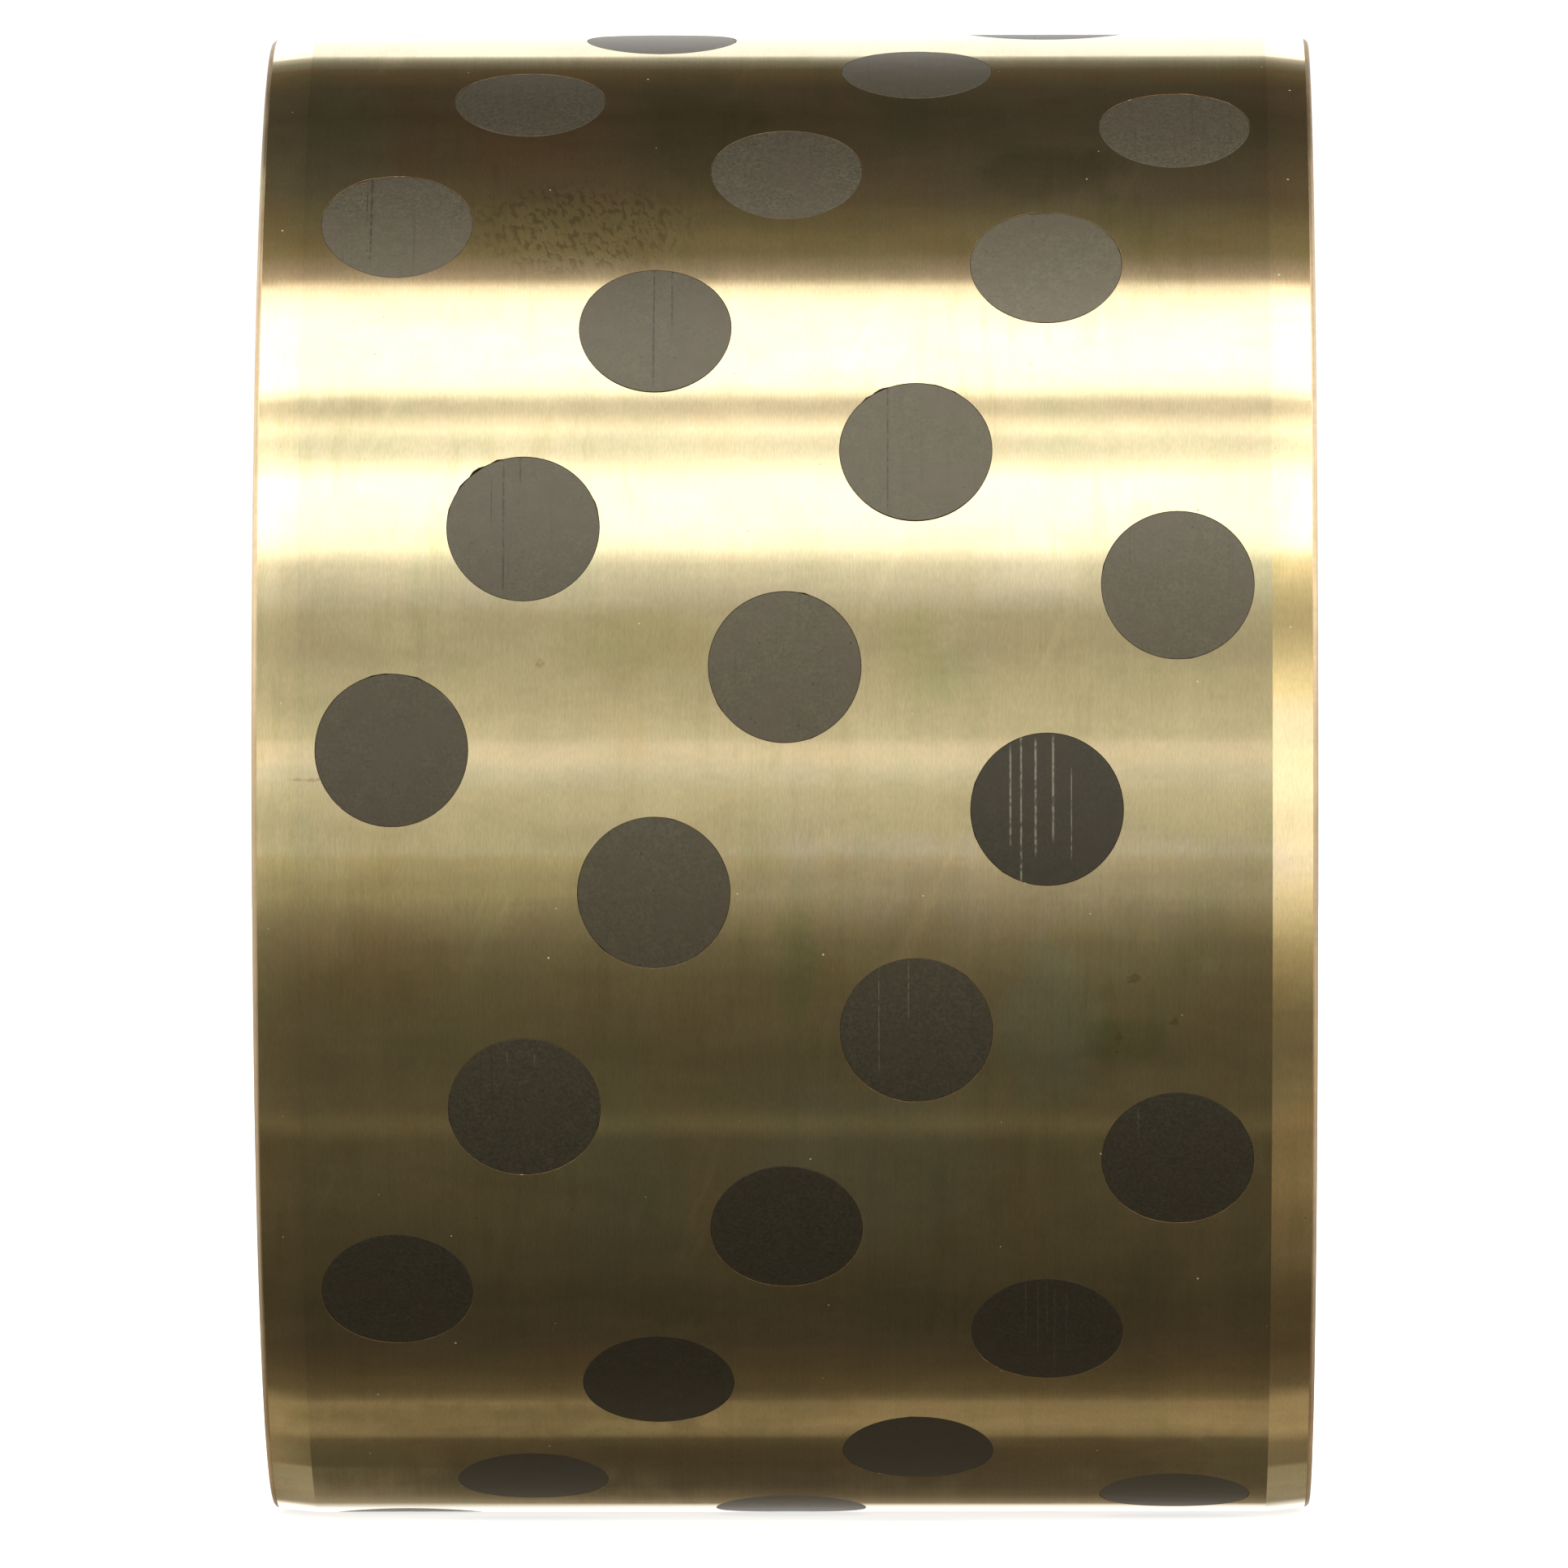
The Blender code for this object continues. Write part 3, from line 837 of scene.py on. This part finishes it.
BACK_ABOVE = [
    (90, 0.18, BROWN), (95.4, 0.135, BROWN), (101, 0.097, UMBER), (112, 0.068, UMBER), (124, 0.053, UMBER),
    (135, 0.064, UMBER), (139, 0.083, TAN), (143, 0.105, TAN), (147, 0.21, OLIVE), (149.8, 0.48, OLIVE),
    (150.8, 1.25, NEUTRAL), (180, 1.25, NEUTRAL),
]
FRONT_BELOW = [
    (0, 0.68, NEUTRAL), (3, 0.58, OLIVE), (8.5, 0.49, OLIVE), (12.2, 0.49, OLIVE), (13.1, 0.43, MOSS),
    (16.1, 0.345, MOSS), (18.9, 0.32, MOSS), (19.7, 0.285, MOSS), (22.5, 0.218, SAND), (26.4, 0.148, SAND),
    (31.6, 0.113, DRAB), (45, 0.083, DRAB), (53, 0.090, DRAB), (56, 0.123, BROWN), (59, 0.078, DRAB),
    (64, 0.075, DRAB), (74, 0.067, DRAB), (90, 0.046, DRAB),
]
BACK_BELOW = [
    (90, 0.046, DRAB), (100, 0.054, UMBER), (106, 0.069, TAN), (112, 0.103, TAN), (114.2, 0.155, TAN),
    (115.4, 0.245, TAN), (122, 0.285, TAN), (125.6, 0.205, TAN), (127.0, 0.098, TAN), (131, 0.077, TAN),
    (138, 0.071, TAN), (148, 0.078, TAN), (154, 0.115, TAN), (161, 0.26, TAN), (164, 1.15, PEACH),
    (167, 1.25, NEUTRAL), (180, 1.25, NEUTRAL),
]
# Panels to the right and left of the camera, which the lead-ins pick up
RIGHT_PANEL = [
    (-167, 1.25, NEUTRAL), (-160, 0.31, CLAY), (-139, 0.26, CLAY), (-137.6, 0.15, TAN), (-129, 0.175, TAN),
    (-125, 0.36, TAN), (-115, 0.36, TAN), (-111, 0.13, TAN), (-100, 0.079, TAN), (-92, 0.082, TAN),
    (-85, 0.107, TAN), (-79, 0.153, TAN), (-72, 0.18, TAN), (-66, 0.22, TAN), (-60, 0.20, TAN),
    (-54.6, 0.246, TAN), (-49, 0.187, BROWN), (-43.5, 0.153, BROWN), (-38, 0.18, BROWN), (-33, 0.26, BROWN),
    (-27.6, 0.41, BROWN), (-22.5, 0.66, SAND), (-17.5, 0.95, SAND), (-12, 1.20, PEACH), (0, 1.38, PEACH),
    (9, 1.30, PEACH), (12.8, 1.12, SAND), (18, 0.78, SAND), (23.2, 0.55, SAND), (28.3, 0.68, SAND),
    (32, 1.05, SAND), (36, 1.5, SAND),
]
LEFT_PANEL = [
    (-167, 1.25, NEUTRAL), (-160, 0.34, CLAY), (-139, 0.26, CLAY), (-137.6, 0.29, TAN), (-129, 0.28, TAN),
    (-125, 0.36, TAN), (-115, 0.32, TAN), (-111, 0.12, TAN), (-100, 0.076, TAN), (-92, 0.068, TAN),
    (-85, 0.064, TAN), (-79, 0.078, TAN), (-72, 0.082, TAN), (-66, 0.092, TAN), (-60, 0.088, TAN),
    (-54.6, 0.12, BROWN),
]
BRIGHTEST = 2.1  # the world's strength, which the ramps' colours are shares of

# How far to the side a slope looks is the sine of twice its angle: 0.17 to 0.26 on the lead-ins.
# The bands glow there, and the panels begin there.
GLOW_RISE = (0.12, 0.28)
GLOW_FALL = (0.34, 0.44)
GLOW = 0.32  # how much brighter the bands are there
LEFT_LAG = 0.04  # the left side brightens this much further out
RIGHT_PANEL_EDGE = (0.10, 0.16)
RIGHT_PANEL_TOP = 32.0
LEFT_PANEL_TOP = -58.0
LEFT_PANEL_STEP = (-138.6, -137.4)  # below this angle the left panel reaches nearer and has a sharper edge
LEFT_PANEL_STARTS = (0.10, 0.16)  # below the step and above it
LEFT_PANEL_ENDS = (0.16, 0.42)
PANEL_TOP_FADE = 4.0

# The gap in both panels, low down behind
GAP_TOP = (-108.0, -95.0)
GAP_NEAR = (0.34, 0.44)
GAP_FAR = (0.52, 0.62)

END_LIGHT_DIM = (0.26, 0.26, 0.255)
END_LIGHT_BRIGHT = (0.62, 0.62, 0.61)
BACKDROP_BRIGHTNESS = 1.05


def band_ramp(nodes, angle, bands):
    """Colours along an angle in degrees, between the first band and the last."""
    first, last = bands[0][0], bands[-1][0]
    share = nodes.add("MapRange", {"Value": angle, "From Min": first, "From Max": last}).outputs[0]
    ramp = nodes.add("ValToRGB", {0: share})
    elements = ramp.color_ramp.elements
    while len(elements) < len(bands):
        elements.new(0.5)
    for at, (degrees, _, _) in enumerate(bands):
        elements[at].position = (degrees - first) / (last - first)
    for element, (_, brightness, tint) in zip(elements, bands):
        element.color = (*(brightness / BRIGHTEST * part for part in tint), 1.0)
    return ramp.outputs[0]


def studio_bands(nodes, angle):
    """The light around the bushing's axis, the same all along it."""
    steepness = nodes.math("ABSOLUTE", angle)
    behind = nodes.math("GREATER_THAN", steepness, 90.0)
    above, below = [nodes.mix(behind, band_ramp(nodes, steepness, front), band_ramp(nodes, steepness, back))
                    for front, back in ((FRONT_ABOVE, BACK_ABOVE), (FRONT_BELOW, BACK_BELOW))]
    return nodes.mix(nodes.math("GREATER_THAN", angle, 0.0), below, above)


def brightened(nodes, bands, rightwards, leftwards):
    """The bands, brighter a little to either side, where the lead-ins look."""
    offset = nodes.math("MAXIMUM", rightwards, nodes.math("SUBTRACT", leftwards, LEFT_LAG))
    brighter = nodes.math("MULTIPLY_ADD", nodes.fade(offset, *GLOW_RISE),
                          nodes.fade(offset, *GLOW_FALL, GLOW, 0.0), 1.0)
    return nodes.add("VectorMath", {0: bands, "Scale": brighter}, operation="SCALE").outputs[0]


def panel_share(nodes, angle, sideways, edge, highest):
    """1 on a side panel and 0 off it and in its gap. edge is where it starts and where it is whole."""
    beside_gap = nodes.math("MAXIMUM", nodes.fade(sideways, *GAP_NEAR, 1.0, 0.0),
                            nodes.fade(sideways, *GAP_FAR))
    width = nodes.math("MAXIMUM", nodes.fade(angle, *GAP_TOP), beside_gap)
    share = nodes.math("MULTIPLY", nodes.fade(sideways, *edge),
                       nodes.fade(angle, highest, highest + PANEL_TOP_FADE, 1.0, 0.0))
    return nodes.math("MULTIPLY", share, width)


def make_world():
    """The studio: bands of light, a panel to either side, and a softbox beyond each end."""
    world = bpy.data.worlds.new("studio")
    bpy.context.scene.world = world
    nodes = Nodes(world)
    direction = nodes.add("TexCoord").outputs["Generated"]
    x, y, z = nodes.add("SeparateXYZ", {0: direction}).outputs
    # Where around the bushing a far camera sees this direction mirrored, on the lead-ins too
    half_angle = nodes.math("ARCTAN2", z, nodes.math("SUBTRACT", 1.0, y))
    angle = nodes.math("DEGREES", nodes.math("MULTIPLY", half_angle, 2.0))
    rightwards = nodes.math("DIVIDE", x, nodes.math("COSINE", half_angle))
    leftwards = nodes.math("MULTIPLY", rightwards, -1.0)
    bands = brightened(nodes, studio_bands(nodes, angle), rightwards, leftwards)
    left_edge = [nodes.fade(angle, *LEFT_PANEL_STEP, *places)
                 for places in (LEFT_PANEL_STARTS, LEFT_PANEL_ENDS)]
    for panel, sideways, edge, highest in ((RIGHT_PANEL, rightwards, RIGHT_PANEL_EDGE, RIGHT_PANEL_TOP),
                                           (LEFT_PANEL, leftwards, left_edge, LEFT_PANEL_TOP)):
        share = panel_share(nodes, angle, sideways, edge, highest)
        bands = nodes.mix(share, bands, band_ramp(nodes, angle, panel))
    # Beyond the ends: dim, with a wide softbox a little above the middle
    end_light = nodes.math("MULTIPLY", nodes.fade(z, 0.02, 0.22), nodes.fade(z, 0.45, 0.70, 1.0, 0.0))
    end_light = nodes.mix(end_light, END_LIGHT_DIM, END_LIGHT_BRIGHT)
    bands = nodes.mix(nodes.fade(nodes.math("ABSOLUTE", x), 0.45, 0.80), bands, end_light)
    light = nodes.add("Background", {"Color": bands, "Strength": BRIGHTEST}).outputs[0]
    backdrop = nodes.add("Background", {"Color": (1.0, 1.0, 1.0, 1.0),
                                        "Strength": BACKDROP_BRIGHTNESS}).outputs[0]
    seen = nodes.add("LightPath").outputs["Is Camera Ray"]
    mixed = nodes.add("MixShader", {0: seen, 1: light, 2: backdrop}).outputs[0]
    nodes.add("OutputWorld", {"Surface": mixed})


def make_floor(height):
    """A wide table top for the bushing's faint shadow. The bronze reflects the studio instead of it."""
    bpy.ops.mesh.primitive_grid_add(x_subdivisions=FLOOR_STEPS, y_subdivisions=FLOOR_STEPS, size=FLOOR_SIZE,
                                    location=(0, 0, height))
    floor = bpy.context.object
    floor.name = "floor"
    floor.data.materials.append(floor_material())
    floor.visible_glossy = False
    floor.visible_diffuse = False
    floor.visible_shadow = False


def make_camera():
    """A long lens far in front, level with the bore."""
    camera = bpy.data.cameras.new("camera")
    camera.sensor_width = CAMERA_SENSOR
    camera.lens = CAMERA_LENS
    camera.clip_start, camera.clip_end = CAMERA_CLIPS
    ahead = Vector((math.sin(CAMERA_YAW) * math.cos(CAMERA_PITCH),
                    math.cos(CAMERA_YAW) * math.cos(CAMERA_PITCH), -math.sin(CAMERA_PITCH)))
    level = Vector((math.cos(CAMERA_YAW), -math.sin(CAMERA_YAW), 0.0))
    upright = level.cross(ahead)
    right = level * math.cos(CAMERA_ROLL) + upright * math.sin(CAMERA_ROLL)
    up = right.cross(ahead)
    place = Matrix((right, up, -ahead)).transposed().to_4x4()
    place.translation = CAMERA_PLACE
    obj = bpy.data.objects.new("camera", camera)
    obj.matrix_world = place
    bpy.context.scene.collection.objects.link(obj)
    bpy.context.scene.camera = obj


# ---------------------------------------------------------------- assembly


def place_piece(piece, node, materials):
    """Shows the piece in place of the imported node. It stays with the one body that there is."""
    bpy.context.scene.collection.objects.link(piece)
    for material in materials:
        piece.data.materials.append(material)
    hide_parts(node)
    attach(piece, "root")


def main():
    make_camera()
    make_world()
    make_floor(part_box("sleeve")[0][2])
    bpy.context.scene.view_settings.view_transform = "Standard"
    surfaces = [
        bronze_material("turned_bronze", (0.86, 0.735, 0.44), 0.085, 0.9),
        bronze_material("lead_in_bronze", (0.86, 0.725, 0.43), 0.075, 0.8),
        bronze_material("faced_bronze", (0.86, 0.725, 0.43), 0.20, 0.85, lines=4.0),
        bronze_material("worn_bronze", (0.84, 0.64, 0.40), 0.38, 0.2),
        rim_material(),
    ]
    place_piece(make_sleeve(), "sleeve", surfaces)
    graphite = graphite_material("graphite", 1.0)
    # Plugs with a tone of their own: besides their own shades, painted light on those high up and painted
    # shade on those low down
    own_graphite = {key: graphite_material(f"graphite_{key[0]}_{key[1]}", TONES_AND_PAINTED_LIGHT[key],
                                           PALE_SCRATCHES.get(key, ()), PALE_STRENGTHS.get(key, 0.0),
                                           DARK_SCRATCHES.get(key, ()))
                    for key in plug_places if key in TONES_AND_PAINTED_LIGHT}
    for key in plug_places:
        node = f"graphite_plug_{key[0]}_{key[1]}"
        place_piece(make_plug(key), node, [own_graphite.get(key, graphite)])


main()
